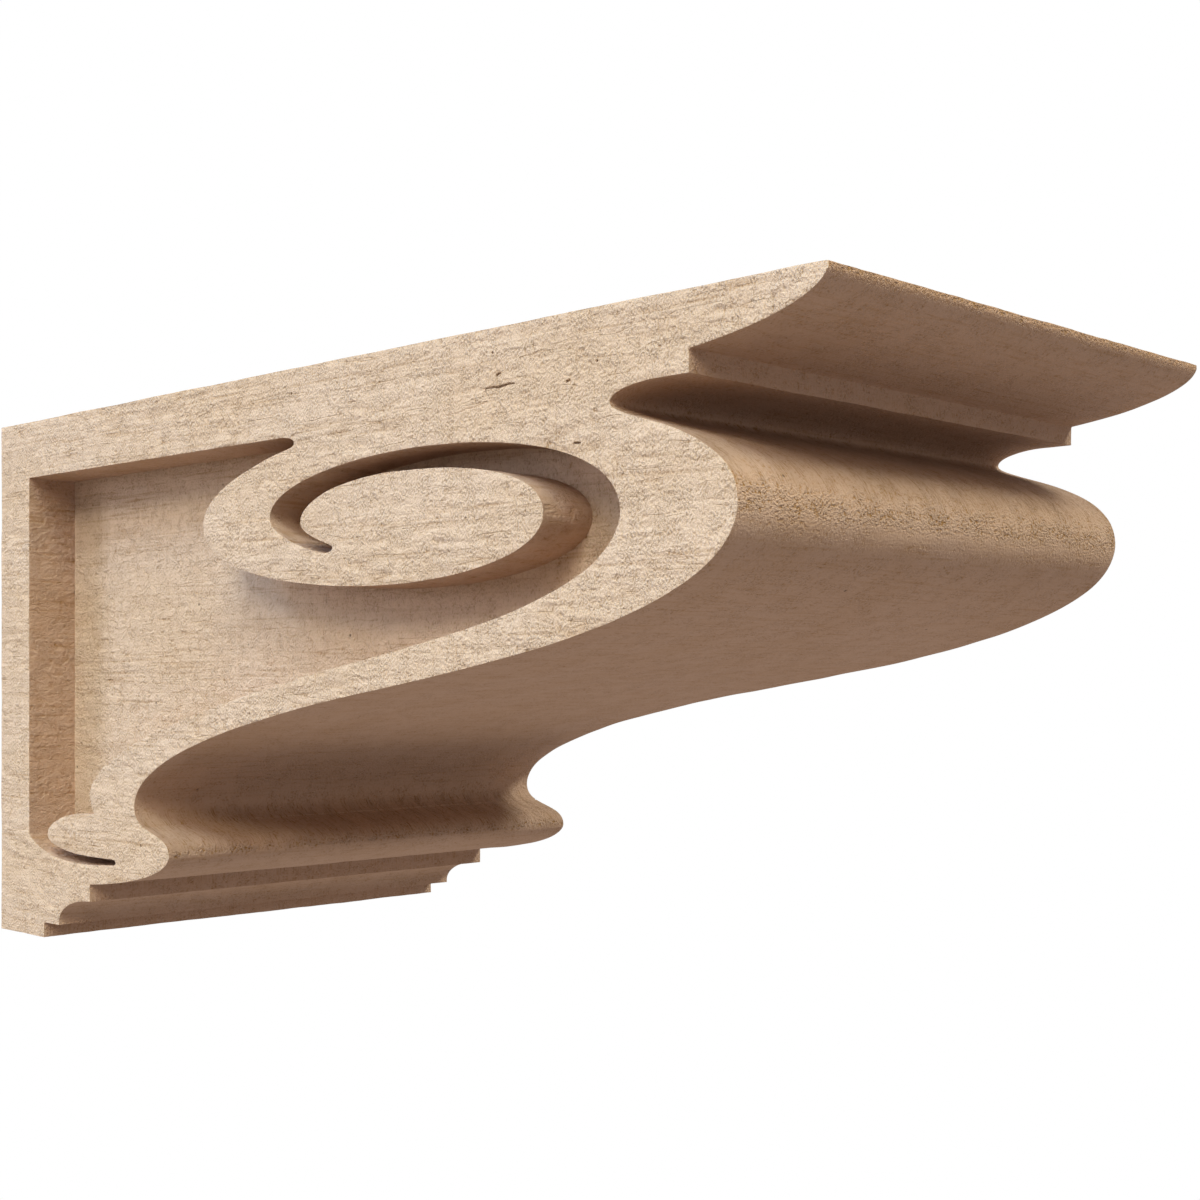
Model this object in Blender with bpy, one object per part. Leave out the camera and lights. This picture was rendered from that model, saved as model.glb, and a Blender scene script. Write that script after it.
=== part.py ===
"""A scroll corbel: one block of rough-sawn timber with a scroll carved into each side.

The wall face lies on y = 0 and the corbel reaches out along -Y. z = 0 is mid-height.
Both outlines are drawn in the side view as (out, up) points: out from the wall, up from mid-height.
Lengths are in modules, and a module is a sixth of the corbel's height.
"""

from math import radians

import bmesh
import bpy
from mathutils import Vector
from mathutils.geometry import interpolate_bezier

# Driving dimensions
MODULE = 0.0254
HEIGHT = 6.0
WIDTH = 6.0
PROJECTION = 12.0
POCKET_DEPTH = 0.6

# Side profile
TOP = HEIGHT / 2
OVOLO_FOOT = (10.693, 2.526)
CAP_SOFFIT = 2.340
COVE_START = 10.400
COVE_DEEP = (9.868, 2.207)
NOSE = (11.167, 1.330)
SWEEP_MID = (6.600, -0.168)
THROAT = (2.911, -1.393)
BEAD = (3.579, -1.882)
BEAD_HEEL = (2.004, -2.310)
CAVETTO_TOP = -2.505
CAVETTO_FOOT = (1.335, -2.790)
LEDGE = -2.830
FOOT = 1.005

# Pocket around the large scroll
POCKET_BACK = 0.667
POCKET_TOP = 2.336
HOOK_START = 5.500
HOOK_TIP = (5.721, 2.273)
HOOK_HEEL = (5.660, 2.235)
VOLUTE_BACK = (4.206, 1.561)
VOLUTE_BOTTOM = (7.000, 0.843)
EYE_FRONT = (9.124, 1.373)
EYE_TOP = (7.250, 1.879)
EYE_BACK = (5.830, 1.500)
CURL_HEEL = (6.270, 1.259)
CURL_TIP = (6.318, 1.227)
CURL_TOE = (6.200, 1.190)
GROOVE_BACK = (5.348, 1.576)
GROOVE_TOP = (7.600, 2.061)
GROOVE_FRONT = (9.973, 1.333)
RIBBON_MID = (6.600, 0.143)

# Pocket around the small scroll
RIBBON_END = (2.006, -1.308)
NOTCH = (2.080, -1.511)
BUD_BACK = (1.076, -1.800)
BUD_BOTTOM = (2.000, -2.000)
SLOT_START = (2.470, -1.998)
SLOT_TIP = (2.531, -2.028)
SLOT_HEEL = (2.450, -2.058)
SLOT_BOTTOM = (1.900, -2.083)
POCKET_HEEL = -1.825

# Directions of travel in the side view, and how the sloping strokes run: a step out or back, and its rise
OUT = Vector((1.0, 0.0))
BACK = Vector((-1.0, 0.0))
UP = Vector((0.0, 1.0))
DOWN = Vector((0.0, -1.0))
OVOLO_SLOPE = Vector((-1.0, -0.120))
SWEEP_SLOPE = Vector((-1.0, -0.155))
BEAD_SLOPE = Vector((-1.0, -0.080))
HOOK_SLOPE = Vector((-1.0, -0.200))
CURL_SLOPE = Vector((1.0, -0.280))
RIBBON_SLOPE = Vector((-1.0, -0.175))
NOTCH_SLOPE = Vector((0.5, -0.860))
SLOT_SLOPE = Vector((-1.0, -0.060))
HEEL_SLOPE = Vector((-1.0, 0.680))

# A quarter of an ellipse is a cubic curve whose handles are this share of its half axes
QUARTER_PULL = 0.5523
STEPS = 16
TIP_STEPS = 6

# Facets that meet at less than this are one smooth face
SHARP_EDGE = radians(30.0)

# How far a cutter stands out of the face that it cuts
CLEARANCE = 0.2

TIMBER_COLOUR = (0.68, 0.50, 0.34, 1.0)
TIMBER_ROUGHNESS = 0.85


class Outline:
    """A closed line drawn stroke by stroke."""

    def __init__(self, start):
        self.points = [start]

    def line(self, end):
        self.points.append(end)

    def bend(self, end, leave, arrive, steps=STEPS):
        """A cubic curve whose handles, leave and arrive, both point along the line's travel."""
        a = Vector(self.points[-1])
        b = Vector(end)
        curve = interpolate_bezier(a, a + leave, b - arrive, b, steps + 1)
        self.points += [tuple(point) for point in curve[1:]]

    def quarter(self, end, level_first, steps=STEPS):
        """A quarter of an ellipse that leaves level, or else plumb."""
        span = (Vector(end) - Vector(self.points[-1])) * QUARTER_PULL
        level = Vector((span.x, 0.0))
        plumb = Vector((0.0, span.y))
        if level_first:
            self.bend(end, level, plumb, steps)
        else:
            self.bend(end, plumb, level, steps)


def draw_profile():
    """The outside of the corbel: cap, cove, nose, long sweep, bead and foot, back to the wall."""
    pen = Outline((0.0, TOP))
    pen.line((PROJECTION, TOP))
    pen.bend(OVOLO_FOOT, 0.258 * DOWN, 0.599 * OVOLO_SLOPE)
    pen.line((OVOLO_FOOT[0], CAP_SOFFIT))
    pen.line((COVE_START, CAP_SOFFIT))
    pen.quarter(COVE_DEEP, level_first=True)
    pen.bend(NOSE, 0.145 * DOWN, 0.617 * DOWN, 2 * STEPS)
    pen.bend(SWEEP_MID, 0.858 * DOWN, 1.966 * SWEEP_SLOPE, 2 * STEPS)
    pen.bend(THROAT, 2.208 * SWEEP_SLOPE, 0.459 * DOWN, 2 * STEPS)
    pen.bend(BEAD, 0.302 * DOWN, 0.269 * DOWN)
    pen.bend(BEAD_HEEL, 0.210 * DOWN, 0.803 * BEAD_SLOPE)
    pen.line((BEAD_HEEL[0], CAVETTO_TOP))
    pen.quarter(CAVETTO_FOOT, level_first=True)
    pen.line((CAVETTO_FOOT[0], LEDGE))
    pen.line((FOOT, LEDGE))
    pen.line((FOOT, -TOP))
    pen.line((0.0, -TOP))
    return pen.points


def draw_pocket():
    """The sunk ground: round the large scroll, along the ribbon and round the small scroll."""
    pen = Outline((POCKET_BACK, POCKET_TOP))
    pen.line((HOOK_START, POCKET_TOP))
    pen.quarter(HOOK_TIP, level_first=True, steps=TIP_STEPS)
    pen.bend(HOOK_HEEL, 0.022 * DOWN, 0.035 * HOOK_SLOPE, TIP_STEPS)
    pen.bend(VOLUTE_BACK, 0.507 * HOOK_SLOPE, 0.384 * DOWN)
    pen.bend(VOLUTE_BOTTOM, 0.553 * DOWN, 0.968 * OUT)
    pen.bend(EYE_FRONT, 1.007 * OUT, 0.371 * UP)
    pen.bend(EYE_TOP, 0.387 * UP, 0.884 * BACK)
    pen.bend(EYE_BACK, 0.806 * BACK, 0.218 * DOWN)
    pen.bend(CURL_HEEL, 0.100 * DOWN, 0.241 * CURL_SLOPE)
    pen.bend(CURL_TIP, 0.029 * CURL_SLOPE, 0.012 * DOWN, TIP_STEPS)
    pen.bend(CURL_TOE, 0.021 * DOWN, 0.060 * BACK, TIP_STEPS)
    pen.bend(GROOVE_BACK, 0.087 * BACK, 0.207 * UP)
    pen.bend(GROOVE_TOP, 0.265 * UP, 1.282 * OUT)
    pen.bend(GROOVE_FRONT, 1.047 * OUT, 0.531 * DOWN)
    pen.bend(RIBBON_MID, 0.678 * DOWN, 1.115 * RIBBON_SLOPE)
    pen.bend(RIBBON_END, 1.976 * RIBBON_SLOPE, 0.563 * DOWN)
    pen.bend(NOTCH, 0.085 * DOWN, 0.070 * NOTCH_SLOPE, TIP_STEPS)
    pen.quarter(BUD_BACK, level_first=True)
    pen.quarter(BUD_BOTTOM, level_first=False)
    pen.line(SLOT_START)
    pen.quarter(SLOT_TIP, level_first=True, steps=TIP_STEPS)
    pen.quarter(SLOT_HEEL, level_first=False, steps=TIP_STEPS)
    pen.bend(SLOT_BOTTOM, 0.200 * SLOT_SLOPE, 0.180 * BACK, TIP_STEPS)
    pen.bend((POCKET_BACK, POCKET_HEEL), 0.650 * BACK, 0.280 * HEEL_SLOPE)
    return pen.points


def extrude(name, outline, x_from, x_to):
    """A solid of this side-view outline, between two places across the width."""
    shape = bmesh.new()
    corners = [shape.verts.new((x_from * MODULE, -out * MODULE, up * MODULE)) for out, up in outline]
    cap = shape.faces.new(corners)
    raised = bmesh.ops.extrude_face_region(shape, geom=[cap])["geom"]
    moved = [item for item in raised if isinstance(item, bmesh.types.BMVert)]
    bmesh.ops.translate(shape, verts=moved, vec=((x_to - x_from) * MODULE, 0.0, 0.0))
    bmesh.ops.recalc_face_normals(shape, faces=shape.faces)
    mesh = bpy.data.meshes.new(name)
    shape.to_mesh(mesh)
    shape.free()
    mesh.shade_smooth()
    mesh.set_sharp_from_angle(angle=SHARP_EDGE)
    solid = bpy.data.objects.new(name, mesh)
    bpy.context.scene.collection.objects.link(solid)
    return solid


def cut_pocket(block, name, side):
    """Sinks the pocket into the face on this side: -1 or +1."""
    face = side * WIDTH / 2
    cutter = extrude(name, draw_pocket(), face + side * CLEARANCE, face - side * POCKET_DEPTH)
    cutter.hide_render = True
    cutter.display_type = "WIRE"
    cut = block.modifiers.new(name, "BOOLEAN")
    cut.operation = "DIFFERENCE"
    cut.solver = "EXACT"
    cut.object = cutter


def timber():
    material = bpy.data.materials.new("rough sawn timber")
    material.use_nodes = True
    shader = material.node_tree.nodes["Principled BSDF"]
    shader.inputs["Base Color"].default_value = TIMBER_COLOUR
    shader.inputs["Roughness"].default_value = TIMBER_ROUGHNESS
    shader.inputs["Metallic"].default_value = 0.0
    material.diffuse_color = TIMBER_COLOUR
    return material


def clear_scene():
    for leftover in list(bpy.data.objects):
        bpy.data.objects.remove(leftover, do_unlink=True)


def main():
    clear_scene()
    corbel = extrude("corbel", draw_profile(), -WIDTH / 2, WIDTH / 2)
    corbel.data.materials.append(timber())
    cut_pocket(corbel, "left pocket", -1)
    cut_pocket(corbel, "right pocket", 1)


main()
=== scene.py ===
"""The looks of the scroll corbel: one carved block of rough-sawn timber in soft studio light.

The block's skin is drawn from the same outlines as its solid, as (out, up) points in modules: out from the
wall, up from mid-height. A module is a sixth of the corbel's height.
"""

from collections import namedtuple
from math import ceil, pi, radians

import bmesh
import bpy
import numpy as np
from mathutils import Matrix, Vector, noise
from mathutils.geometry import delaunay_2d_cdt, interpolate_bezier


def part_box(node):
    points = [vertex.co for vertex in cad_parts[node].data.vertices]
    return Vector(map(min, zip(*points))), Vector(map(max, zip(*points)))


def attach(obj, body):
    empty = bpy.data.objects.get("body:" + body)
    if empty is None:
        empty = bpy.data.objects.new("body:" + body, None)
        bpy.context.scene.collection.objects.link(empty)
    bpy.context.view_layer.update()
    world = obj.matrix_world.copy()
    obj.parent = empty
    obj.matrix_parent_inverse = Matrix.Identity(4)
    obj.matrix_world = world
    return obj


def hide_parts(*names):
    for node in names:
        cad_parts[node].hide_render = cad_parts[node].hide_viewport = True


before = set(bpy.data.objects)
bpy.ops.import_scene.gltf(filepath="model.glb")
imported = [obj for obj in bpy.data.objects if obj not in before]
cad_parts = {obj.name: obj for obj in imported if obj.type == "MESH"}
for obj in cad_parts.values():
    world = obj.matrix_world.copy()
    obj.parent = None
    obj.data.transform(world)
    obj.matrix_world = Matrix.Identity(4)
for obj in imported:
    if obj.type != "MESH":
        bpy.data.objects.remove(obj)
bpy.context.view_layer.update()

# Driving dimensions, in modules
LOW_CORNER, HIGH_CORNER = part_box("corbel")
HEIGHT = 6.0
WIDTH = 6.0
PROJECTION = 12.0
POCKET_DEPTH = 0.6
MODULE = (HIGH_CORNER.z - LOW_CORNER.z) / HEIGHT
MILLIMETRE = 0.001

# Side profile
TOP = HEIGHT / 2
OVOLO_FOOT = (10.693, 2.526)
CAP_SOFFIT = 2.340
COVE_START = 10.400
COVE_DEEP = (9.868, 2.207)
NOSE = (11.167, 1.330)
SWEEP_MID = (6.600, -0.168)
THROAT = (2.911, -1.393)
BEAD = (3.579, -1.882)
BEAD_HEEL = (2.004, -2.310)
CAVETTO_TOP = -2.505
CAVETTO_FOOT = (1.335, -2.790)
LEDGE = -2.830
FOOT = 1.005

# Pocket around the large scroll
POCKET_BACK = 0.667
POCKET_TOP = 2.336
HOOK_START = 5.500
HOOK_TIP = (5.721, 2.273)
HOOK_HEEL = (5.660, 2.235)
VOLUTE_BACK = (4.206, 1.561)
VOLUTE_BOTTOM = (7.000, 0.843)
EYE_FRONT = (9.124, 1.373)
EYE_TOP = (7.250, 1.879)
EYE_BACK = (5.830, 1.500)
CURL_HEEL = (6.270, 1.259)
CURL_TIP = (6.318, 1.227)
CURL_TOE = (6.200, 1.190)
GROOVE_BACK = (5.348, 1.576)
GROOVE_TOP = (7.600, 2.061)
GROOVE_FRONT = (9.973, 1.333)
RIBBON_MID = (6.600, 0.143)

# Pocket around the small scroll
RIBBON_END = (2.006, -1.308)
NOTCH = (2.080, -1.511)
BUD_BACK = (1.076, -1.800)
BUD_BOTTOM = (2.000, -2.000)
SLOT_START = (2.470, -1.998)
SLOT_TIP = (2.531, -2.028)
SLOT_HEEL = (2.450, -2.058)
SLOT_BOTTOM = (1.900, -2.083)
POCKET_HEEL = -1.825

# Directions of travel in the side view, and how the sloping strokes run: a step out or back, and its rise
OUT = Vector((1.0, 0.0))
BACK = Vector((-1.0, 0.0))
UP = Vector((0.0, 1.0))
DOWN = Vector((0.0, -1.0))
OVOLO_SLOPE = Vector((-1.0, -0.120))
SWEEP_SLOPE = Vector((-1.0, -0.155))
BEAD_SLOPE = Vector((-1.0, -0.080))
HOOK_SLOPE = Vector((-1.0, -0.200))
CURL_SLOPE = Vector((1.0, -0.280))
RIBBON_SLOPE = Vector((-1.0, -0.175))
NOTCH_SLOPE = Vector((0.5, -0.860))
SLOT_SLOPE = Vector((-1.0, -0.060))
HEEL_SLOPE = Vector((-1.0, 0.680))
QUARTER_PULL = 0.5523

# How closely the skin is meshed, in modules: along the outlines, over what doesn't show, across the width,
# over the sides and at the checks in them
OUTLINE_STEP = 0.056
HIDDEN_STEP = 0.150
ACROSS_STEP = 0.085
FACE_STEP = 0.052
FINE_STEP = 0.009
WALL_ROWS = 8
CURVE_SAMPLES = 240
TIGHTEST_TURN = radians(9.0)
SHORTEST_SHARE = 0.4
SHARPEST_MITRE = 0.5
WELD = 1e-7

# Arrises, rounded a little by sanding and handling: how far, the turns that count as a corner and as a crisp
# edge, and the rings of the rounding, each a share of the way in from the arris and of the drop to it
ARRIS = 0.008
CORNER_TURN = radians(25.0)
SHARP_EDGE = radians(25.0)
ROUNDING = ((0.0, 1.0), (0.293, 0.293), (1.0, 0.0))

# The cap's top front edge, worn round
CAP_EDGE = (PROJECTION, TOP)
CAP_WEAR = 0.032
CAP_FACETS = 5

# The tool line where the sweep's cut meets the bead's: a place on the profile, half its width and its depth
TOOL_LINE = (3.066, -1.586)
TOOL_LINE_REACH = 0.016
TOOL_LINE_DEPTH = 0.010

# Waves left in every face: their size in modules across, along and up, and how deep they are sunk
WAVES = (
    ((0.42, 0.70, 0.42), 0.0060),
    ((0.17, 0.30, 0.17), 0.0040),
)

# Open checks and pits: the two ends of each, its half width and its depth. The left side's are the ones that
# the photograph shows, and the right side's are others like them.
Check = namedtuple("Check", "start end half_width depth")
LEFT_CHECKS = (
    Check((6.60, 2.570), (6.66, 2.565), 0.012, 0.010),
    Check((8.42, 2.478), (8.775, 2.490), 0.014, 0.018),
    Check((7.90, 2.292), (8.45, 2.362), 0.012, 0.008),
    Check((9.46, 1.912), (9.54, 1.912), 0.012, 0.018),
    Check((10.86, 1.355), (11.05, 1.350), 0.012, 0.008),
    Check((11.03, 1.350), (11.08, 1.260), 0.012, 0.008),
    Check((9.10, 0.650), (9.30, 0.655), 0.012, 0.008),
    Check((5.68, 2.754), (5.69, 2.754), 0.014, 0.018),
    Check((8.50, 2.780), (8.51, 2.780), 0.013, 0.016),
    Check((8.56, 2.580), (8.60, 2.590), 0.013, 0.016),
    Check((9.72, 2.555), (9.73, 2.555), 0.013, 0.016),
    Check((9.38, 2.430), (9.42, 2.432), 0.013, 0.016),
    Check((9.46, 1.220), (9.47, 1.220), 0.013, 0.016),
    Check((9.80, 1.025), (9.81, 1.025), 0.013, 0.016),
    Check((3.72, -0.455), (3.73, -0.455), 0.014, 0.016),
    Check((3.025, -1.800), (3.03, -1.810), 0.014, 0.018),
    Check((1.71, -1.912), (1.72, -1.912), 0.012, 0.015),
)
RIGHT_CHECKS = (
    Check((2.30, 2.640), (2.58, 2.632), 0.012, 0.008),
    Check((4.90, 2.520), (4.91, 2.520), 0.014, 0.016),
    Check((7.35, 2.450), (7.72, 2.462), 0.014, 0.018),
    Check((8.30, 1.150), (8.55, 1.146), 0.012, 0.008),
    Check((10.40, 1.900), (10.41, 1.900), 0.014, 0.016),
    Check((0.35, -1.250), (0.36, -1.250), 0.013, 0.016),
    Check((2.60, -1.780), (2.61, -1.780), 0.013, 0.016),
)

# Below this depth a check's faces are painted dark, as painted shade inside the crack. Its line wanders, in
# two waves of a height and a length. A long check, one of so many half widths, thins to this share of its
# width at its ends.
DARK_DEPTH = 0.0085
CHECK_WANDER = ((0.005, 0.230), (0.002, 0.087))
LONG_CHECK = 4.0
THIN_END = 0.35

# Each zone of the surface has its own finish
ZONES = [
    "sawn_side", "sunk_ground", "carved_wall", "moulded_front", "rounded_front",
    "square_edge", "sawn_top", "end_grain", "open_check",
]

# The parts of the profile that stand forward and are rough where they turn over: two corners of each
ROUNDED = (
    ((11.60, 2.70), (12.10, 3.00)),
    ((10.30, 0.30), (11.50, 2.10)),
    ((3.20, -2.20), (3.80, -1.60)),
)

# Colours of the timber, of the painted golden light along the cap's top front edge, of the shade painted
# into its hollows and torn lines, and of the shade painted into its pits; how strongly a pit's shade is
# painted, how deep a pit is in millimetres, how rough the smoothest and the roughest places are, and how
# much all of it shines
PALE_TIMBER = (0.714, 0.530, 0.375, 1.0)
WARM_TIMBER = (0.687, 0.497, 0.335, 1.0)
EDGE_LIGHT_GOLD = (0.420, 0.236, 0.125, 1.0)
PAINTED_SHADE_BROWN = (0.340, 0.172, 0.055, 1.0)
PIT_SHADE_BROWN = (0.10, 0.055, 0.03, 1.0)
PIT_SHADE_STRENGTH = 0.8
PIT_DEPTH = 0.25
SMOOTHEST = 0.78
ROUGHEST = 0.95
SHEEN = 0.25

# Painted light along the cap's top front edge, a golden band where the light catches it: where it begins and
# is full, in millimetres below the edge, its strength, how many ragged patches there are to a metre, and how
# far they reach in millimetres
EDGE_LIGHT_START = 2.4
EDGE_LIGHT_FULL = 0.6
EDGE_LIGHT_SHARE = 0.80
EDGE_LIGHT_PATCHES = 1300.0
EDGE_LIGHT_RAGGEDNESS = 5.0

# Blender's noise: its middle, the range that most of it keeps to, and a wider one for slow drifts
NOISE_MIDDLE = 0.5
USUAL_NOISE = (0.38, 0.62)
WIDE_NOISE = (0.30, 0.70)

# Where in the noise a hollow starts and where its painted shade is full, and how many patches there are to
# a feature
HOLLOW_START = 0.52
HOLLOW_FULL = 0.26
PATCH_SCALE = 0.16

# The rise of a face's normal where each way of facing counts for nothing, and where it counts in full
UPWARD = (0.10, 0.60)
PAST_TOP = (0.80, 0.15)
ABOVE_BELLY = (-0.35, 0.02)
DOWNWARD = (-0.05, -0.45)

# A layer of roughness: its features' lengths across, along and up the block and its depth, in millimetres,
# how strongly shade is painted into its hollows, how it is drawn, how uneven it is from patch to patch, and
# the way it faces
Layer = namedtuple(
    "Layer", "size depth shade octaves fineness crumple patchiness where",
    defaults=(1.0, 0.5, 0.0, 0.0, "everywhere"),
)
STROKES = Layer((0.26, 3.6, 3.6), 0.50, 0.70, octaves=2.0, patchiness=0.5, where="upward")
# Speckles where the fronts turn over and the light grazes their bumps; the dark of their hollows is painted
# shade
SPECKLES = Layer((0.7, 0.8, 0.6), 0.78, 0.72, octaves=2.0, fineness=0.6, patchiness=0.2, where="turning")
SCRAPES = Layer((16.0, 1.0, 0.7), 0.10, 0.26, octaves=2.0, where="downward")
FINE_SPECKLES = Layer((0.7, 0.8, 0.6), 0.42, 0.48, octaves=2.0, fineness=0.6, patchiness=0.4)
FINISHES = {
    "sawn_side": [
        Layer((4.0, 10.0, 2.8), 0.75, 0.12, crumple=0.2, patchiness=0.4),
        Layer((4.0, 28.0, 0.9), 0.14, 0.18, crumple=0.1, patchiness=0.7),
        Layer((1.5, 1.4, 1.25), 0.46, 0.12, crumple=0.15, patchiness=0.6),
        Layer((1.0, 0.48, 0.68), 0.68, 0.38, octaves=2.0, patchiness=0.3),
        Layer((3.0, 0.6, 20.0), 0.06, 0.05, patchiness=0.5),
    ],
    "sunk_ground": [
        Layer((4.0, 12.0, 2.6), 0.50, 0.10, crumple=0.2, patchiness=0.4),
        Layer((4.0, 30.0, 0.8), 0.14, 0.18, crumple=0.1, patchiness=0.7),
        Layer((1.4, 1.3, 1.15), 0.36, 0.12, crumple=0.15, patchiness=0.6),
        Layer((0.9, 0.44, 0.62), 0.68, 0.34, octaves=2.0, patchiness=0.3),
        Layer((3.0, 0.7, 24.0), 0.06, 0.05, patchiness=0.6),
    ],
    "carved_wall": [
        Layer((2.2, 2.2, 1.8), 0.60, 0.20, patchiness=0.4),
        Layer((0.9, 0.9, 0.7), 0.70, 0.38, octaves=3.0, fineness=0.7, patchiness=0.3),
        Layer((20.0, 20.0, 1.0), 0.22, 0.26, crumple=0.1, patchiness=0.7),
    ],
    "moulded_front": [STROKES, SCRAPES, FINE_SPECKLES],
    "rounded_front": [STROKES, SPECKLES, SCRAPES, FINE_SPECKLES],
    "square_edge": [
        Layer((0.6, 6.0, 6.0), 0.08, 0.25, patchiness=0.6),
        FINE_SPECKLES,
    ],
    "sawn_top": [
        Layer((3.0, 6.0, 3.0), 0.80, 0.10, crumple=0.6, patchiness=0.4),
        Layer((0.7, 0.7, 0.9), 0.40, 0.50, octaves=2.0, fineness=0.6, patchiness=0.4),
        Layer((24.0, 0.9, 3.0), 0.14, 0.12),
    ],
    "end_grain": [
        Layer((0.8, 1.0, 0.8), 0.55, 0.40, octaves=2.0, fineness=0.6, patchiness=0.4),
        Layer((2.4, 2.4, 2.0), 0.50, 0.20, patchiness=0.4),
        Layer((40.0, 3.0, 2.6), 0.14, 0.18),
    ],
    "open_check": [
        Layer((0.8, 0.8, 0.8), 0.30, 0.50),
    ],
}

# The torn lines of each zone: their lengths across, along and up in millimetres, how wide they are within
# that, how many there are, how strongly shade is painted into them and how deep in millimetres
Lines = namedtuple("Lines", "size width share shade depth")
FRONT_LINES = Lines((14.0, 4.0, 4.0), 0.016, 0.25, 0.30, 0.05)
LINES = {
    "sawn_side": Lines((3.2, 26.0, 2.6), 0.022, 0.50, 0.24, 0.11),
    "sunk_ground": Lines((3.2, 22.0, 2.4), 0.022, 0.60, 0.25, 0.09),
    "carved_wall": Lines((12.0, 6.0, 3.0), 0.022, 0.60, 0.30, 0.15),
    "moulded_front": FRONT_LINES,
    "rounded_front": FRONT_LINES,
    "square_edge": FRONT_LINES,
    "sawn_top": Lines((3.2, 26.0, 2.6), 0.022, 0.50, 0.30, 0.14),
    "end_grain": Lines((34.0, 30.0, 3.6), 0.022, 0.30, 0.26, 0.10),
    "open_check": Lines((3.2, 26.0, 2.6), 0.022, 0.10, 0.30, 0.05),
}

# How the torn lines are drawn, and how they are broken: a line stays where a second noise is above a level,
# which is FEWEST_LINES for a share of none, and lower by BREAK_REACH for a full share
LINE_OCTAVES = 1.5
LINE_CRUMPLE = 0.1
FEWEST_LINES = 0.75
BREAK_REACH = 0.5
BREAK_SCALE = 1.7
BREAK_OCTAVES = 2.0
BREAK_SOFTNESS = 0.12

# How each zone takes the light: the cuts across the grain are darker and more golden than the sides
FRONT_TINT = (0.722, 0.632, 0.598, 1.0)
TINTS = {
    "sawn_side": (1.0, 1.0, 1.0, 1.0),
    "sunk_ground": (0.985, 0.983, 0.974, 1.0),
    "carved_wall": (0.780, 0.700, 0.680, 1.0),
    "moulded_front": FRONT_TINT,
    "rounded_front": FRONT_TINT,
    "square_edge": FRONT_TINT,
    "sawn_top": (1.0, 1.0, 1.0, 1.0),
    "end_grain": (0.83, 0.74, 0.69, 1.0),
    # painted shade: the dark inside of an open check
    "open_check": (0.25, 0.20, 0.16, 1.0),
}

# The small pits of each zone: how far apart and how wide in millimetres, and the share that are there
Pits = namedtuple("Pits", "spacing width share")
FRONT_PITS = Pits(12.0, 0.50, 0.35)
PITS = {
    "sawn_side": Pits(12.0, 0.50, 0.40),
    "sunk_ground": Pits(9.0, 0.50, 0.45),
    "carved_wall": Pits(12.0, 0.45, 0.20),
    "moulded_front": FRONT_PITS,
    "rounded_front": FRONT_PITS,
    "square_edge": FRONT_PITS,
    "sawn_top": Pits(12.0, 0.50, 0.40),
    "end_grain": Pits(14.0, 0.45, 0.20),
    "open_check": Pits(14.0, 0.45, 0.10),
}

# The share of a pit's width that is at its full depth
PIT_BOTTOM = 0.35

# Slow drifts of shade: their size across the grain in millimetres, and how much longer they are along it
MOTTLE_SIZE = 18.0
MOTTLE_STRETCH = 2.5
MOTTLE_OCTAVES = 3.0
MOTTLE_FINENESS = 0.55

# Camera: the photograph is a two-point perspective, level with the corbel's middle and turned by an eighth
# of a circle. The shift is a share of the picture's width, to the right and up.
CAMERA_PLACE = (-0.33957, -0.49197, 0.0)
CAMERA_TURN = (radians(90.0), 0.0, radians(-45.0))
CAMERA_SENSOR = 36.0
CAMERA_LENS = 52.70
CAMERA_SHIFT = (0.0562, 0.0651)

# The floor lies well below the corbel, and it and the backdrop are white
FLOOR_LEVEL = -0.60
FLOOR_REACH = 3.0
BACKDROP_WHITE = (1.0, 1.0, 1.0, 1.0)

# Soft boxes: their turn from +X, height above the horizon and spread, in degrees, and then their strength in
# red, green and blue
SOFT_BOXES = {
    "tall box behind, low": (132.0, 8.0, 16.0, (0.164, 0.169, 0.206)),
    "tall box behind, middle": (132.0, 24.0, 16.0, (0.166, 0.193, 0.231)),
    "tall box behind, high": (132.0, 40.0, 16.0, (0.059, 0.142, 0.269)),
    "left box, low": (-160.0, 32.0, 16.0, (0.288, 0.290, 0.262)),
    "left box, high": (-160.0, 50.0, 16.0, (0.154, 0.195, 0.234)),
    "left front box, low": (-140.0, 32.0, 16.0, (0.120, 0.096, 0.068)),
    "left front box, high": (-140.0, 50.0, 16.0, (0.204, 0.231, 0.244)),
    "near front box": (-120.0, 50.0, 16.0, (0.150, 0.173, 0.127)),
    "right front box": (-50.0, 45.0, 16.0, (0.634, 0.689, 0.659)),
    "box under the wall": (90.0, -65.0, 54.0, (0.158, 0.135, 0.106)),
}

# The dim light from all round, which changes over this much height above and below the horizon
FILL_FROM_ABOVE = (0.420, 0.423, 0.444, 1.0)
FILL_FROM_BELOW = (0.383, 0.353, 0.356, 1.0)
HORIZON_BAND = 0.3


class Outline:
    """A closed line drawn stroke by stroke, with a point at every step and closer where it turns tightly."""

    def __init__(self, start):
        self.points = [Vector(start)]

    def line(self, end, step=OUTLINE_STEP):
        start = self.points[-1]
        end = Vector(end)
        count = ceil((end - start).length / step)
        self.points += [start.lerp(end, i / count) for i in range(1, count + 1)]

    def bend(self, end, leave, arrive):
        """A cubic curve whose handles, leave and arrive, both point along the line's travel."""
        a = self.points[-1]
        b = Vector(end)
        curve = interpolate_bezier(a, a + leave, b - arrive, b, CURVE_SAMPLES + 1)
        self.points += spaced_points(curve)

    def quarter(self, end, level_first):
        """A quarter of an ellipse that leaves level, or else plumb."""
        span = (Vector(end) - self.points[-1]) * QUARTER_PULL
        level = Vector((span.x, 0.0))
        plumb = Vector((0.0, span.y))
        if level_first:
            self.bend(end, level, plumb)
        else:
            self.bend(end, plumb, level)


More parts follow.
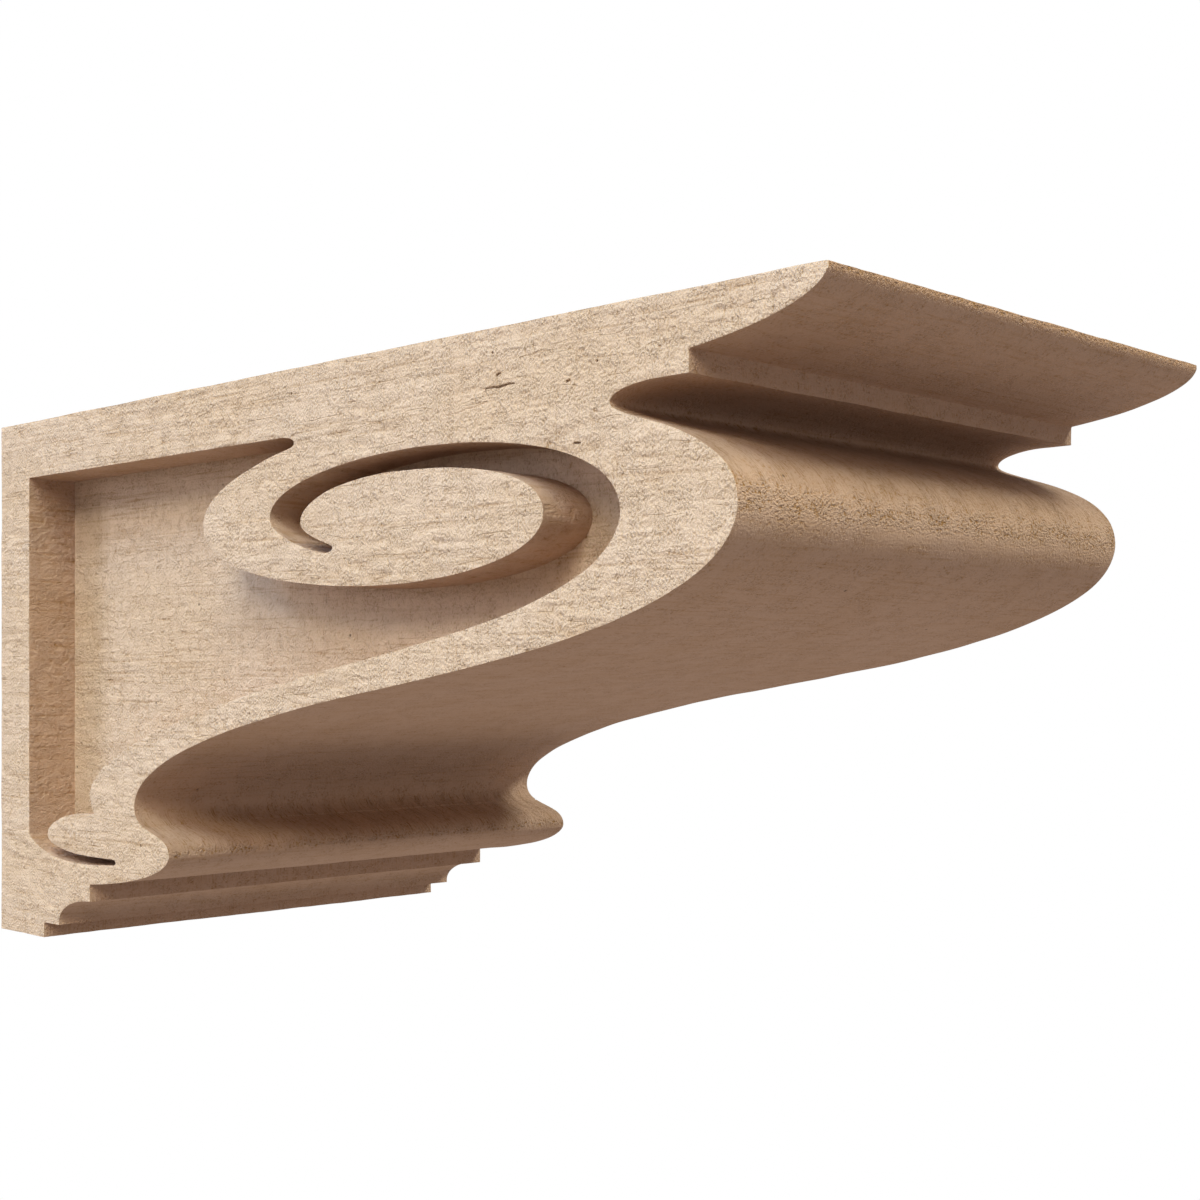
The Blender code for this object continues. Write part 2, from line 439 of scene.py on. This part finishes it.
def spaced_points(curve):
    """The points of a finely drawn curve, after its first, that are a step or a slight turn apart."""
    chosen = []
    share = 0.0
    for before, here, after in zip(curve, curve[1:], curve[2:]):
        share += (here - before).length / OUTLINE_STEP
        share += (here - before).angle(after - here) / TIGHTEST_TURN
        if share >= 1.0:
            chosen.append(here)
            share = 0.0
    if chosen and share < SHORTEST_SHARE:
        chosen.pop()
    return chosen + [curve[-1]]


def draw_profile():
    """The outside of the corbel: cap, cove, nose, long sweep, bead and foot, back to the wall."""
    pen = Outline((0.0, TOP))
    pen.line((PROJECTION, TOP), HIDDEN_STEP)
    pen.bend(OVOLO_FOOT, 0.258 * DOWN, 0.599 * OVOLO_SLOPE)
    pen.line((OVOLO_FOOT[0], CAP_SOFFIT))
    pen.line((COVE_START, CAP_SOFFIT))
    pen.quarter(COVE_DEEP, level_first=True)
    pen.bend(NOSE, 0.145 * DOWN, 0.617 * DOWN)
    pen.bend(SWEEP_MID, 0.858 * DOWN, 1.966 * SWEEP_SLOPE)
    pen.bend(THROAT, 2.208 * SWEEP_SLOPE, 0.459 * DOWN)
    pen.bend(BEAD, 0.302 * DOWN, 0.269 * DOWN)
    pen.bend(BEAD_HEEL, 0.210 * DOWN, 0.803 * BEAD_SLOPE)
    pen.line((BEAD_HEEL[0], CAVETTO_TOP))
    pen.quarter(CAVETTO_FOOT, level_first=True)
    pen.line((CAVETTO_FOOT[0], LEDGE))
    pen.line((FOOT, LEDGE))
    pen.line((FOOT, -TOP))
    pen.line((0.0, -TOP))
    pen.line((0.0, TOP), HIDDEN_STEP)
    return pen.points[:-1]


def draw_pocket():
    """The sunk ground: round the large scroll, along the ribbon and round the small scroll."""
    pen = Outline((POCKET_BACK, POCKET_TOP))
    pen.line((HOOK_START, POCKET_TOP))
    pen.quarter(HOOK_TIP, level_first=True)
    pen.bend(HOOK_HEEL, 0.022 * DOWN, 0.035 * HOOK_SLOPE)
    pen.bend(VOLUTE_BACK, 0.507 * HOOK_SLOPE, 0.384 * DOWN)
    pen.bend(VOLUTE_BOTTOM, 0.553 * DOWN, 0.968 * OUT)
    pen.bend(EYE_FRONT, 1.007 * OUT, 0.371 * UP)
    pen.bend(EYE_TOP, 0.387 * UP, 0.884 * BACK)
    pen.bend(EYE_BACK, 0.806 * BACK, 0.218 * DOWN)
    pen.bend(CURL_HEEL, 0.100 * DOWN, 0.241 * CURL_SLOPE)
    pen.bend(CURL_TIP, 0.029 * CURL_SLOPE, 0.012 * DOWN)
    pen.bend(CURL_TOE, 0.021 * DOWN, 0.060 * BACK)
    pen.bend(GROOVE_BACK, 0.087 * BACK, 0.207 * UP)
    pen.bend(GROOVE_TOP, 0.265 * UP, 1.282 * OUT)
    pen.bend(GROOVE_FRONT, 1.047 * OUT, 0.531 * DOWN)
    pen.bend(RIBBON_MID, 0.678 * DOWN, 1.115 * RIBBON_SLOPE)
    pen.bend(RIBBON_END, 1.976 * RIBBON_SLOPE, 0.563 * DOWN)
    pen.bend(NOTCH, 0.085 * DOWN, 0.070 * NOTCH_SLOPE)
    pen.quarter(BUD_BACK, level_first=True)
    pen.quarter(BUD_BOTTOM, level_first=False)
    pen.line(SLOT_START)
    pen.quarter(SLOT_TIP, level_first=True)
    pen.quarter(SLOT_HEEL, level_first=False)
    pen.bend(SLOT_BOTTOM, 0.200 * SLOT_SLOPE, 0.180 * BACK)
    pen.bend((POCKET_BACK, POCKET_HEEL), 0.650 * BACK, 0.280 * HEEL_SLOPE)
    pen.line((POCKET_BACK, POCKET_TOP))
    return pen.points[:-1]


def neighbours(points):
    """Each point of a closed line with the one before it and the one after it."""
    return zip(points[-1:] + points[:-1], points, points[1:] + points[:1])


def soften(points):
    """The closed line with each sharp corner taken off in two short facets."""
    softened = []
    for before, here, after in neighbours(points):
        arriving = (here - before).normalized()
        leaving = (after - here).normalized()
        if arriving.angle(leaving) < CORNER_TURN:
            softened.append(here)
            continue
        start = here - ARRIS * arriving
        end = here + ARRIS * leaving
        softened += [start, (start + 2 * here + end) / 4, end]
    return softened


def offset(points, distance):
    """The closed line moved to the right of its travel, which is into the profile and into the pocket."""
    moved = []
    for before, here, after in neighbours(points):
        arriving = (here - before).normalized()
        leaving = (after - here).normalized()
        along = (arriving + leaving).normalized()
        stretch = max(arriving.dot(along), SHARPEST_MITRE)
        moved.append(here + Vector((along.y, -along.x)) * distance / stretch)
    return moved


def round_cap_edge(points):
    """The profile with the cap's top front edge taken off in an even curve."""
    edge = Vector(CAP_EDGE)
    kept = [point for point in points if (point - edge).length > CAP_WEAR]
    last = max(i for i, point in enumerate(kept) if point.y > TOP - ARRIS and point.x > edge.x / 2)
    start = edge + CAP_WEAR * BACK
    end = kept[last + 1]
    pull = QUARTER_PULL * (start - end).length
    curve = interpolate_bezier(start, start + pull * OUT, end + pull * UP, end, CAP_FACETS + 1)
    return kept[:last + 1] + list(curve[:-1]) + kept[last + 1:]


def press_tool_line(points):
    """The profile with the tool line pressed into it, as a shallow vee."""
    line = Vector(TOOL_LINE)
    at = min(range(len(points)), key=lambda i: (points[i] - line).length)
    here = points[at]
    before = here + (points[at - 1] - here).normalized() * TOOL_LINE_REACH
    after = here + (points[at + 1] - here).normalized() * TOOL_LINE_REACH
    along = (after - before).normalized()
    bottom = here + Vector((along.y, -along.x)) * TOOL_LINE_DEPTH
    return points[:at] + [before, bottom, after] + points[at + 1:]


class Skin:
    """The block's surface, gathered ring by ring. Every face belongs to a zone, which has its own finish."""

    def __init__(self):
        self.places = []
        self.faces = []
        self.zones = []

    def ring(self, outline, across):
        """A closed line of points at one place across the width."""
        first = len(self.places)
        self.places += [(across * MODULE, -point.x * MODULE, point.y * MODULE) for point in outline]
        return list(range(first, len(self.places)))

    def bridge(self, one, other, zones):
        """A band of faces between two rings of the same outline, with the zone of each face."""
        for i in range(len(one)):
            self.faces.append((one[i - 1], one[i], other[i], other[i - 1]))
            self.zones.append(zones[i])

    def fill(self, outlines, rings, side, across, zone, checks=()):
        """Flat ground between closed lines in one plane, in even triangles, with checks opened in it."""
        edge = [tuple(point) for outline in outlines for point in outline]
        links = []
        for outline in outlines:
            first = len(links)
            count = len(outline)
            links += [(first + i, first + (i + 1) % count) for i in range(count)]
        inner = inner_points(outlines, checks)
        sunk = check_depths(np.array(inner), checks)
        known = [index for ring in rings for index in ring]
        for (out, up), depth in zip(inner, sunk):
            known.append(len(self.places))
            self.places.append(((across - side * depth) * MODULE, -out * MODULE, up * MODULE))
        points = [Vector(point) for point in edge + inner]
        found = delaunay_2d_cdt(points, links, [], 0, WELD, True)
        corners = np.array([tuple(point) for point in found[0]])
        triangles = np.array(found[2])
        triangles = triangles[inside(corners[triangles].mean(axis=1), outlines)]
        # Faces deep in a check take the open_check finish, whose dark tint is painted shade inside the crack
        opened = check_depths(corners[triangles].mean(axis=1), checks) > DARK_DEPTH
        names = [known[sources[0]] for sources in found[3]]
        for triangle, is_open in zip(triangles, opened):
            self.faces.append(tuple(names[i] for i in triangle))
            self.zones.append("open_check" if is_open else zone)


def segments(outlines):
    """The starts and the ends of all the straight steps of some closed lines."""
    starts = np.array([tuple(point) for outline in outlines for point in outline])
    ends = np.array([tuple(point) for outline in outlines for point in outline[1:] + outline[:1]])
    return starts, ends


def inside(points, outlines):
    """Which points a level ray leaves the closed lines from an odd number of times."""
    crossings = np.zeros(len(points), int)
    for a, b in zip(*segments(outlines)):
        spans = (a[1] > points[:, 1]) != (b[1] > points[:, 1])
        if a[1] != b[1]:
            meets = a[0] + (points[:, 1] - a[1]) * (b[0] - a[0]) / (b[1] - a[1])
            crossings += spans & (points[:, 0] < meets)
    return crossings % 2 == 1


def distance_to(points, outlines):
    """How far each point is from the nearest of the closed lines."""
    nearest = np.full(len(points), np.inf)
    for a, b in zip(*segments(outlines)):
        step = b - a
        share = np.clip((points - a) @ step / (step @ step), 0.0, 1.0)
        gap = points - a - share[:, None] * step
        nearest = np.minimum(nearest, np.hypot(gap[:, 0], gap[:, 1]))
    return nearest


def triangular_grid(low, high, step):
    """The points of an even triangular grid over a rectangle."""
    rows = np.arange(low[1], high[1], step * 3 ** 0.5 / 2)
    columns = np.arange(low[0], high[0], step)
    out, up = np.meshgrid(columns, rows)
    out[1::2] += step / 2
    return np.stack([out.ravel(), up.ravel()], axis=1)


def distance_to_check(points, check):
    """How far each point is from a check's wandering middle line, counted as further at its thin ends."""
    start, end = np.array(check.start), np.array(check.end)
    step = end - start
    length = np.hypot(*step)
    share = np.clip((points - start) @ step / length ** 2, 0.0, 1.0)
    gap = points - start - share[:, None] * step
    for height, wave in CHECK_WANDER:
        gap[:, 1] -= height * np.sin(2 * pi * share * length / wave)
    distance = np.hypot(gap[:, 0], gap[:, 1])
    if length < LONG_CHECK * check.half_width:
        return distance
    thickness = THIN_END + (1.0 - THIN_END) * np.sin(pi * share)
    return distance / thickness


def check_depths(points, checks):
    """How deep the checks go at each point."""
    depths = np.zeros(len(points))
    for check in checks:
        share = np.clip(1.0 - distance_to_check(points, check) / check.half_width, 0.0, 1.0)
        depths = np.maximum(depths, check.depth * share)
    return depths


def inner_points(outlines, checks):
    """A triangular grid that stays clear of the closed lines around it, and is finer at each check."""
    grid = triangular_grid((0.0, -TOP), (PROJECTION, TOP), FACE_STEP)
    for check in checks:
        reach = check.half_width + FINE_STEP + sum(height for height, length in CHECK_WANDER)
        grid = grid[distance_to_check(grid, check) > reach + FINE_STEP]
        low = np.minimum(check.start, check.end) - reach
        high = np.maximum(check.start, check.end) + reach
        fine = triangular_grid(low, high, FINE_STEP)
        fine = fine[distance_to_check(fine, check) < reach]
        grid = np.concatenate([grid, fine])
    grid = grid[inside(grid, outlines)]
    grid = grid[distance_to(grid, outlines) > FACE_STEP / 2]
    return [tuple(point) for point in grid]


def build_skin():
    """The whole surface: across the width, round the arrises, over both sides and down into the pockets."""
    skin = Skin()
    profile = press_tool_line(round_cap_edge(soften(draw_profile())))
    pocket = soften(draw_pocket())
    half = WIDTH / 2
    count = ceil(2 * (half - ARRIS) / ACROSS_STEP)
    columns = [(half - ARRIS) * (2 * i / count - 1) for i in range(count + 1)]
    body = [skin.ring(profile, across) for across in columns]
    zones = [zone_of(one, other) for one, other in zip(profile[-1:] + profile, profile)]
    for one, other in zip(body, body[1:]):
        skin.bridge(one, other, zones)
    for side, edge in ((-1, body[0]), (1, body[-1])):
        carve_side(skin, side, profile, pocket, edge)
    return skin


def zone_of(one, other):
    """Which finish the profile has between two of its points."""
    if max(one.x, other.x) <= ARRIS:
        return "end_grain"
    if one.y == other.y == TOP:
        return "sawn_top"
    if one.x == other.x or one.y == other.y:
        return "square_edge"
    middle = (one + other) / 2
    for low, high in ROUNDED:
        if low[0] < middle.x < high[0] and low[1] < middle.y < high[1]:
            return "rounded_front"
    return "moulded_front"


def carve_side(skin, side, profile, pocket, edge):
    """One side of the block, from its outer arris to the floor of its pocket."""
    face = side * WIDTH / 2
    checks = LEFT_CHECKS if side < 0 else RIGHT_CHECKS
    for inset, drop in ROUNDING[1:]:
        outer = offset(profile, inset * ARRIS)
        ring = skin.ring(outer, face - side * drop * ARRIS)
        skin.bridge(edge, ring, ["sawn_side"] * len(ring))
        edge = ring
    lip = offset(pocket, -ARRIS)
    lip_ring = skin.ring(lip, face)
    skin.fill([outer, lip], [edge, lip_ring], side, face, "sawn_side", checks)
    brow = skin.ring(offset(pocket, -ROUNDING[1][0] * ARRIS), face - side * ROUNDING[1][1] * ARRIS)
    skin.bridge(lip_ring, brow, ["sawn_side"] * len(brow))
    wall = skin.ring(pocket, face - side * ARRIS)
    skin.bridge(brow, wall, ["carved_wall"] * len(wall))
    for row in range(1, WALL_ROWS + 1):
        depth = ARRIS + (POCKET_DEPTH - ARRIS) * row / WALL_ROWS
        lower = skin.ring(pocket, face - side * depth)
        skin.bridge(wall, lower, ["carved_wall"] * len(lower))
        wall = lower
    skin.fill([pocket], [wall], side, face - side * POCKET_DEPTH, "sunk_ground")


def sink_waves(shape):
    """Presses shallow waves into every face, never proud of it."""
    for vert in shape.verts:
        depth = 0.0
        for size, most in WAVES:
            place = Vector(vert.co[axis] / (size[axis] * MODULE) for axis in range(3))
            depth += most * min(max(NOISE_MIDDLE + noise.noise(place), 0.0), 1.0)
        vert.co -= vert.normal * depth * MODULE


def corbel_piece(skin):
    """The whole block as one mesh, with a finish to each zone, waves in its faces and crisp corners."""
    mesh = bpy.data.meshes.new("corbel_timber")
    mesh.from_pydata(skin.places, [], skin.faces)
    mesh.polygons.foreach_set("material_index", [ZONES.index(zone) for zone in skin.zones])
    shape = bmesh.new()
    shape.from_mesh(mesh)
    bmesh.ops.recalc_face_normals(shape, faces=shape.faces)
    shape.normal_update()
    sink_waves(shape)
    shape.to_mesh(mesh)
    shape.free()
    mesh.shade_smooth()
    mesh.set_sharp_from_angle(angle=SHARP_EDGE)
    piece = bpy.data.objects.new("corbel_timber", mesh)
    bpy.context.scene.collection.objects.link(piece)
    return piece


def add(tree, kind, inputs=None, **settings):
    """A node of this kind with its settings; each input is a plain value or another node's output."""
    node = tree.nodes.new("ShaderNode" + kind)
    for name, value in settings.items():
        setattr(node, name, value)
    for name, value in (inputs or {}).items():
        if isinstance(value, bpy.types.NodeSocket):
            tree.links.new(value, node.inputs[name])
        else:
            node.inputs[name].default_value = value
    return node


def math(tree, operation, *values):
    """The result of one step of arithmetic."""
    return add(tree, "Math", dict(enumerate(values)), operation=operation).outputs["Value"]


def ramp(tree, value, low, high, to_low=0.0, to_high=1.0):
    """The value, taken smoothly from low and high to two other values."""
    inputs = {"Value": value, "From Min": low, "From Max": high, "To Min": to_low, "To Max": to_high}
    return add(tree, "MapRange", inputs, interpolation_type="SMOOTHSTEP").outputs["Result"]


def mix_colour(tree, share, one, other, blend="MIX"):
    """One colour taken towards the other by a share, or blended with it."""
    node = add(tree, "Mix", data_type="RGBA", blend_type=blend)
    for name, value in (("Factor_Float", share), ("A_Color", one), ("B_Color", other)):
        socket = next(s for s in node.inputs if s.identifier == name)
        if isinstance(value, bpy.types.NodeSocket):
            tree.links.new(value, socket)
        else:
            socket.default_value = value
    return next(s for s in node.outputs if s.identifier == "Result_Color")


def new_group(name, inputs, outputs):
    """An empty node group, with the kind and value of each input and the kind of each output, by name."""
    group = bpy.data.node_groups.new(name, "ShaderNodeTree")
    for label, (kind, value) in inputs.items():
        socket = group.interface.new_socket(label, in_out="INPUT", socket_type="NodeSocket" + kind)
        socket.default_value = value
    for label, kind in outputs.items():
        group.interface.new_socket(label, in_out="OUTPUT", socket_type="NodeSocket" + kind)
    source = group.nodes.new("NodeGroupInput").outputs
    sink = group.nodes.new("NodeGroupOutput").inputs
    return group, source, sink


def use(tree, group, **values):
    """A copy of the group in this tree, with its own values."""
    node = tree.nodes.new("ShaderNodeGroup")
    node.node_tree = group
    for name, value in values.items():
        socket = node.inputs[name.replace("_", " ").capitalize()]
        if isinstance(value, bpy.types.NodeSocket):
            tree.links.new(value, socket)
        else:
            socket.default_value = value
    return node.outputs


def in_sizes(tree, given):
    """The place in the block, measured in features of the given sizes in millimetres."""
    place = add(tree, "TexCoord").outputs["Object"]
    sizes = {"X": given["Across"], "Y": given["Along"], "Z": given["Up"]}
    size = add(tree, "CombineXYZ", sizes).outputs["Vector"]
    size = add(tree, "VectorMath", {0: size, "Scale": MILLIMETRE}, operation="SCALE").outputs["Vector"]
    return add(tree, "VectorMath", {0: place, 1: size}, operation="DIVIDE").outputs["Vector"]


def relief_group():
    """One layer of roughness: a height in millimetres, and the shade painted where a place lies in a hollow.
    """
    group, given, made = new_group(
        "relief",
        {
            "Across": ("Float", 1.0), "Along": ("Float", 2.0), "Up": ("Float", 1.0), "Depth": ("Float", 0.1),
            "Octaves": ("Float", 2.0), "Fineness": ("Float", 0.5), "Crumple": ("Float", 0.0),
            "Patchiness": ("Float", 0.0),
        },
        {"Height": "Float", "Painted shade": "Float"},
    )
    place = in_sizes(group, given)
    inputs = {
        "Vector": place, "Scale": 1.0, "Detail": given["Octaves"],
        "Roughness": given["Fineness"], "Distortion": given["Crumple"],
    }
    field = add(group, "TexNoise", inputs).outputs["Fac"]
    patches = add(group, "TexNoise", {"Vector": place, "Scale": PATCH_SCALE, "Detail": 1.0}).outputs["Fac"]
    least = math(group, "SUBTRACT", 1.0, given["Patchiness"])
    most = math(group, "ADD", 1.0, given["Patchiness"])
    strength = ramp(group, patches, *USUAL_NOISE, least, most)
    level = math(group, "MULTIPLY", math(group, "SUBTRACT", field, NOISE_MIDDLE), strength)
    group.links.new(math(group, "MULTIPLY", level, given["Depth"]), made["Height"])
    painted_shade = ramp(group, field, HOLLOW_START, HOLLOW_FULL)
    group.links.new(math(group, "MULTIPLY", painted_shade, strength), made["Painted shade"])
    return group


def line_group():
    """Broken wavy lines where the grain has torn: how far each place lies in one."""
    group, given, made = new_group(
        "tear lines",
        {
            "Across": ("Float", 3.0), "Along": ("Float", 16.0), "Up": ("Float", 3.0),
            "Width": ("Float", 0.03), "Share": ("Float", 0.5),
        },
        {"Line": "Float"},
    )
    place = in_sizes(group, given)
    inputs = {"Vector": place, "Scale": 1.0, "Detail": LINE_OCTAVES, "Distortion": LINE_CRUMPLE}
    field = add(group, "TexNoise", inputs).outputs["Fac"]
    off_line = math(group, "ABSOLUTE", math(group, "SUBTRACT", field, NOISE_MIDDLE))
    line = ramp(group, off_line, given["Width"], 0.0)
    inputs = {"Vector": place, "Scale": BREAK_SCALE, "Detail": BREAK_OCTAVES}
    breaks = add(group, "TexNoise", inputs).outputs["Fac"]
    start = math(group, "MULTIPLY_ADD", given["Share"], -BREAK_REACH, FEWEST_LINES)
    kept = ramp(group, breaks, start, math(group, "ADD", start, BREAK_SOFTNESS))
    group.links.new(math(group, "MULTIPLY", line, kept), made["Line"])
    return group


def facing_group():
    """How far each place faces up, turns over to the front, or faces down."""
    outputs = {"Everywhere": "Float", "Upward": "Float", "Turning": "Float", "Downward": "Float"}
    group, given, made = new_group("facing", {}, outputs)
    normal = add(group, "NewGeometry").outputs["Normal"]
    slope = add(group, "SeparateXYZ", {"Vector": normal}).outputs["Z"]
    made["Everywhere"].default_value = 1.0
    group.links.new(ramp(group, slope, *UPWARD), made["Upward"])
    over = math(group, "MULTIPLY", ramp(group, slope, *PAST_TOP), ramp(group, slope, *ABOVE_BELLY))
    group.links.new(over, made["Turning"])
    group.links.new(ramp(group, slope, *DOWNWARD), made["Downward"])
    return group


def edge_light_group():
    """Painted light: the cap's top front edge painted golden where the light catches it, in ragged patches.
    """
    group, given, made = new_group(
        "painted edge light",
        {"Start": ("Float", EDGE_LIGHT_START), "Full": ("Float", EDGE_LIGHT_FULL), "Share": ("Float", EDGE_LIGHT_SHARE)},
        {"Edge light": "Float"},
    )
    place = add(group, "TexCoord").outputs["Object"]
    level = add(group, "SeparateXYZ", {"Vector": place}).outputs["Z"]
    below = math(group, "DIVIDE", math(group, "SUBTRACT", TOP * MODULE, level), MILLIMETRE)
    ragged = add(group, "TexNoise", {"Vector": place, "Scale": EDGE_LIGHT_PATCHES, "Detail": 2.0}).outputs["Fac"]
    ragged = math(group, "SUBTRACT", ragged, NOISE_MIDDLE)
    below = math(group, "MULTIPLY_ADD", ragged, EDGE_LIGHT_RAGGEDNESS, below)
    lit_edge = ramp(group, below, given["Start"], given["Full"])
    group.links.new(math(group, "MULTIPLY", lit_edge, given["Share"]), made["Edge light"])
    return group


def pit_group():
    """Small scattered pits: where they are, from none to full depth."""
    group, given, made = new_group(
        "pits",
        {"Spacing": ("Float", 9.0), "Width": ("Float", 0.8), "Share": ("Float", 0.5)},
        {"Pit": "Float"},
    )
    place = add(group, "TexCoord").outputs["Object"]
    per_length = math(group, "DIVIDE", 1.0 / MILLIMETRE, given["Spacing"])
    place = add(group, "VectorMath", {0: place, "Scale": per_length}, operation="SCALE").outputs["Vector"]
    cells = add(group, "TexVoronoi", {"Vector": place, "Scale": 1.0, "Randomness": 1.0})
    reach = math(group, "DIVIDE", given["Width"], given["Spacing"])
    near = ramp(group, cells.outputs["Distance"], reach, math(group, "MULTIPLY", reach, PIT_BOTTOM))
    chance = add(group, "SeparateColor", {"Color": cells.outputs["Color"]}).outputs["Red"]
    chosen = math(group, "LESS_THAN", chance, given["Share"])
    group.links.new(math(group, "MULTIPLY", near, chosen), made["Pit"])
    return group


def mottle_group():
    """Slow drifts of shade through the block."""
    group, given, made = new_group(
        "mottle",
        {"Size": ("Float", MOTTLE_SIZE), "Stretch": ("Float", MOTTLE_STRETCH)},
        {"Shade": "Float"},
    )
    place = add(group, "TexCoord").outputs["Object"]
    per_length = math(group, "DIVIDE", 1.0 / MILLIMETRE, given["Size"])
    per_grain = math(group, "DIVIDE", per_length, given["Stretch"])
    scale = add(group, "CombineXYZ", {"X": per_length, "Y": per_grain, "Z": per_length}).outputs["Vector"]
    place = add(group, "VectorMath", {0: place, 1: scale}, operation="MULTIPLY").outputs["Vector"]
    inputs = {"Vector": place, "Scale": 1.0, "Detail": MOTTLE_OCTAVES, "Roughness": MOTTLE_FINENESS}
    field = add(group, "TexNoise", inputs).outputs["Fac"]
    group.links.new(ramp(group, field, *WIDE_NOISE), made["Shade"])
    return group


def timber_material(name, groups):
    """The timber of one zone, with its layers of roughness, each with shade painted into its hollows."""
    material = bpy.data.materials.new(name)
    material.use_nodes = True
    tree = material.node_tree
    shader = tree.nodes["Principled BSDF"]
    shader.inputs["Specular IOR Level"].default_value = SHEEN
    facing = use(tree, groups["facing"])
    mottle = use(tree, groups["mottle"])
    colour = mix_colour(tree, mottle["Shade"], WARM_TIMBER, PALE_TIMBER)
    colour = mix_colour(tree, 1.0, colour, TINTS[name], "MULTIPLY")
    # Painted light: a golden band along the cap's top front edge, where the light catches it
    if name == "rounded_front":
        lit_edge = use(tree, groups["edge_light"], start=EDGE_LIGHT_START, full=EDGE_LIGHT_FULL, share=EDGE_LIGHT_SHARE)["Edge light"]
        colour = mix_colour(tree, lit_edge, colour, EDGE_LIGHT_GOLD)
    height = 0.0
    painted_shade = 0.0
    for layer in FINISHES[name]:
        settings = layer._asdict()
        where = facing[settings.pop("where").capitalize()]
        shade = settings.pop("shade")
        made = use(tree, groups["relief"], **sized(settings))
        height = math(tree, "MULTIPLY_ADD", made["Height"], where, height)
        painted_shade = math(tree, "MULTIPLY_ADD", math(tree, "MULTIPLY", made["Painted shade"], where), shade, painted_shade)
    settings = LINES[name]._asdict()
    shade = settings.pop("shade")
    depth = settings.pop("depth")
    lines = use(tree, groups["lines"], **sized(settings))["Line"]
    painted_shade = math(tree, "MULTIPLY_ADD", lines, shade, painted_shade)
    height = math(tree, "MULTIPLY_ADD", lines, -depth, height)
    # Painted shade: the hollows and torn lines are darkened towards a shade brown
    colour = mix_colour(tree, painted_shade, colour, PAINTED_SHADE_BROWN)
    pits = use(tree, groups["pits"], **PITS[name]._asdict())["Pit"]
    # Painted shade: each pit is darkened towards a shade brown, as well as sunk
    colour = mix_colour(tree, math(tree, "MULTIPLY", pits, PIT_SHADE_STRENGTH), colour, PIT_SHADE_BROWN)
    height = math(tree, "MULTIPLY_ADD", pits, -PIT_DEPTH, height)
    tree.links.new(colour, shader.inputs["Base Color"])
    rough = ramp(tree, painted_shade, 0.0, 1.0, SMOOTHEST, ROUGHEST)
    tree.links.new(rough, shader.inputs["Roughness"])
    bump = add(tree, "Bump", {"Strength": 1.0, "Distance": MILLIMETRE, "Height": height})
    tree.links.new(bump.outputs["Normal"], shader.inputs["Normal"])
    return material


def sized(settings):
    """The settings with their size given as a length across, along and up."""
    across, along, up = settings.pop("size")
    return {"across": across, "along": along, "up": up, **settings}


def finishes():
    """The material of each zone, in their order. All are made from the same groups."""
    groups = {
        "facing": facing_group(),
        "relief": relief_group(),
        "lines": line_group(),
        "edge_light": edge_light_group(),
        "pits": pit_group(),
        "mottle": mottle_group(),
    }
    return [timber_material(name, groups) for name in ZONES]


def set_camera():
    """The camera, in the place that the photograph was taken from."""
    camera = bpy.data.cameras.new("camera")
    camera.sensor_width = CAMERA_SENSOR
    camera.lens = CAMERA_LENS
    camera.shift_x, camera.shift_y = CAMERA_SHIFT
    stand = bpy.data.objects.new("camera", camera)
    stand.location = CAMERA_PLACE
    stand.rotation_euler = CAMERA_TURN
    bpy.context.scene.collection.objects.link(stand)
    bpy.context.scene.camera = stand


def set_lights():
    """Soft boxes round the corbel, so far away that each lights it evenly."""
    for name, (turn, height, spread, strength) in SOFT_BOXES.items():
        lamp = bpy.data.lights.new(name, "SUN")
        brightest = max(strength)
        lamp.energy = pi * brightest
        lamp.color = [share / brightest for share in strength]
        lamp.angle = radians(spread)
        stand = bpy.data.objects.new(name, lamp)
        stand.rotation_euler = (radians(90.0 - height), 0.0, radians(90.0 + turn))
        bpy.context.scene.collection.objects.link(stand)


def set_surroundings():
    """A dim room that fills the shadows, seen as plain white behind the corbel."""
    world = bpy.data.worlds.new("studio")
    bpy.context.scene.world = world
    world.use_nodes = True
    tree = world.node_tree
    direction = add(tree, "TexCoord").outputs["Generated"]
    height = add(tree, "SeparateXYZ", {"Vector": direction}).outputs["Z"]
    above = ramp(tree, height, -HORIZON_BAND, HORIZON_BAND)
    fill = mix_colour(tree, above, FILL_FROM_BELOW, FILL_FROM_ABOVE)
    seen = add(tree, "LightPath").outputs["Is Camera Ray"]
    colour = mix_colour(tree, seen, fill, BACKDROP_WHITE)
    tree.links.new(colour, tree.nodes["Background"].inputs["Color"])


def lay_floor():
    """A plain pale floor well below the corbel, which takes no part in its lighting."""
    shape = bmesh.new()
    bmesh.ops.create_grid(shape, x_segments=1, y_segments=1, size=FLOOR_REACH)
    mesh = bpy.data.meshes.new("floor")
    shape.to_mesh(mesh)
    shape.free()
    floor = bpy.data.objects.new("floor", mesh)
    floor.location.z = FLOOR_LEVEL
    bpy.context.scene.collection.objects.link(floor)
    material = bpy.data.materials.new("pale floor")
    material.use_nodes = True
    shader = material.node_tree.nodes["Principled BSDF"]
    shader.inputs["Base Color"].default_value = (0.0, 0.0, 0.0, 1.0)
    shader.inputs["Specular IOR Level"].default_value = 0.0
    shader.inputs["Emission Color"].default_value = BACKDROP_WHITE
    shader.inputs["Emission Strength"].default_value = 1.0
    mesh.materials.append(material)
    floor.visible_diffuse = False
    floor.visible_glossy = False
    floor.visible_shadow = False


def main():
    set_camera()
    skin = build_skin()
    piece = corbel_piece(skin)
    for material in finishes():
        piece.data.materials.append(material)
    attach(piece, "root")
    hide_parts("corbel")
    bpy.context.scene.view_settings.view_transform = "Standard"
    set_lights()
    set_surroundings()
    lay_floor()


main()
